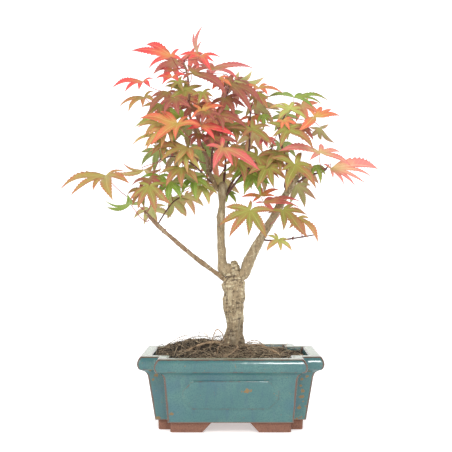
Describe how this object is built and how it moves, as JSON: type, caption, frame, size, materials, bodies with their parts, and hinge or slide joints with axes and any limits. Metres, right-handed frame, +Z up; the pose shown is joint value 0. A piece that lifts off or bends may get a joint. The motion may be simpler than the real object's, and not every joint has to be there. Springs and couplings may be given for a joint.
{
  "type": "bonsai tree in a pot",
  "caption": "Young Japanese maple bonsai with palmate leaves on a forked trunk, rooted in a glazed rectangular pot with indented corners and bare feet.",
  "frame": {"origin": "centre of the bounding box, at the ground under the feet", "axes": "+Z up, the tree's front towards -Y, +X to the right seen from the front"},
  "size_m": [0.367, 0.1576, 0.4406],
  "materials": {
    "young_bark": "smooth young bark",
    "green_plastic_mesh": "matt",
    "maple_bark": "mottled matt bark",
    "maple_leaf_olive": "thin satin leaf",
    "maple_leaf_green": "thin satin leaf",
    "maple_leaf_mauve": "thin satin leaf",
    "maple_leaf_tan": "thin satin leaf",
    "maple_leaf_coral": "thin satin leaf",
    "maple_leaf_orange": "thin satin leaf",
    "maple_leaf_pale": "thin satin leaf",
    "maple_leaf_pink": "thin satin leaf",
    "glazed_stoneware": "turquoise glaze, bare clay feet",
    "root_bark": "matt bark",
    "aluminium_wire": "dull",
    "potting_soil": "matt, crumbly and fibrous"
  },
  "bodies": {
    "root": {"back_twig": "young_bark", "centre_twig": "young_bark", "drain_screen_left": "green_plastic_mesh", "drain_screen_right": "green_plastic_mesh", "leader": "maple_bark", "leaf_back_low": "maple_leaf_olive", "leaf_back_top": "maple_leaf_green", "leaf_big_green": "maple_leaf_green", "leaf_centre_olive": "maple_leaf_olive", "leaf_centre_right": "maple_leaf_olive", "leaf_diagonal_red": "maple_leaf_mauve", "leaf_far_left": "maple_leaf_tan", "leaf_far_right": "maple_leaf_coral", "leaf_green_lower": "maple_leaf_green", "leaf_green_under": "maple_leaf_green", "leaf_green_upper": "maple_leaf_green", "leaf_left_broad": "maple_leaf_orange", "leaf_left_hanging": "maple_leaf_pale", "leaf_left_low": "maple_leaf_green", "leaf_left_olive": "maple_leaf_olive", "leaf_left_thin": "maple_leaf_tan", "leaf_limb_front": "maple_leaf_olive", "leaf_low_right": "maple_leaf_olive", "leaf_low_star": "maple_leaf_olive", "leaf_orange_right": "maple_leaf_coral", "leaf_orange_star": "maple_leaf_orange", "leaf_pink_curved": "maple_leaf_coral", "leaf_right_droop": "maple_leaf_olive", "leaf_right_olive": "maple_leaf_olive", "leaf_right_orange": "maple_leaf_orange", "leaf_right_pale": "maple_leaf_pale", "leaf_right_pink": "maple_leaf_pink", "leaf_right_star": "maple_leaf_olive", "leaf_salmon_centre": "maple_leaf_pink", "leaf_small_orange": "maple_leaf_orange", "leaf_tan_left": "maple_leaf_tan", "leaf_top_coral": "maple_leaf_coral", "leaf_top_lilac": "maple_leaf_mauve", "leaf_top_long": "maple_leaf_pink", "leaf_top_pink": "maple_leaf_pink", "leaf_top_right": "maple_leaf_green", "leaf_yellow_pink": "maple_leaf_pale", "left_limb": "maple_bark", "left_side_twig": "young_bark", "left_twig": "young_bark", "pot": "glazed_stoneware", "right_end_twig": "young_bark", "right_limb": "maple_bark", "right_side_twig": "young_bark", "right_top_twig": "young_bark", "right_twig_inner": "young_bark", "right_twig_outer": "young_bark", "root_front": "root_bark", "root_left": "root_bark", "root_right": "root_bark", "screen_wire_left": "aluminium_wire", "screen_wire_right": "aluminium_wire", "soil": "potting_soil", "trunk": "maple_bark", "upper_branch": "maple_bark"}
  },
  "joints": []
}
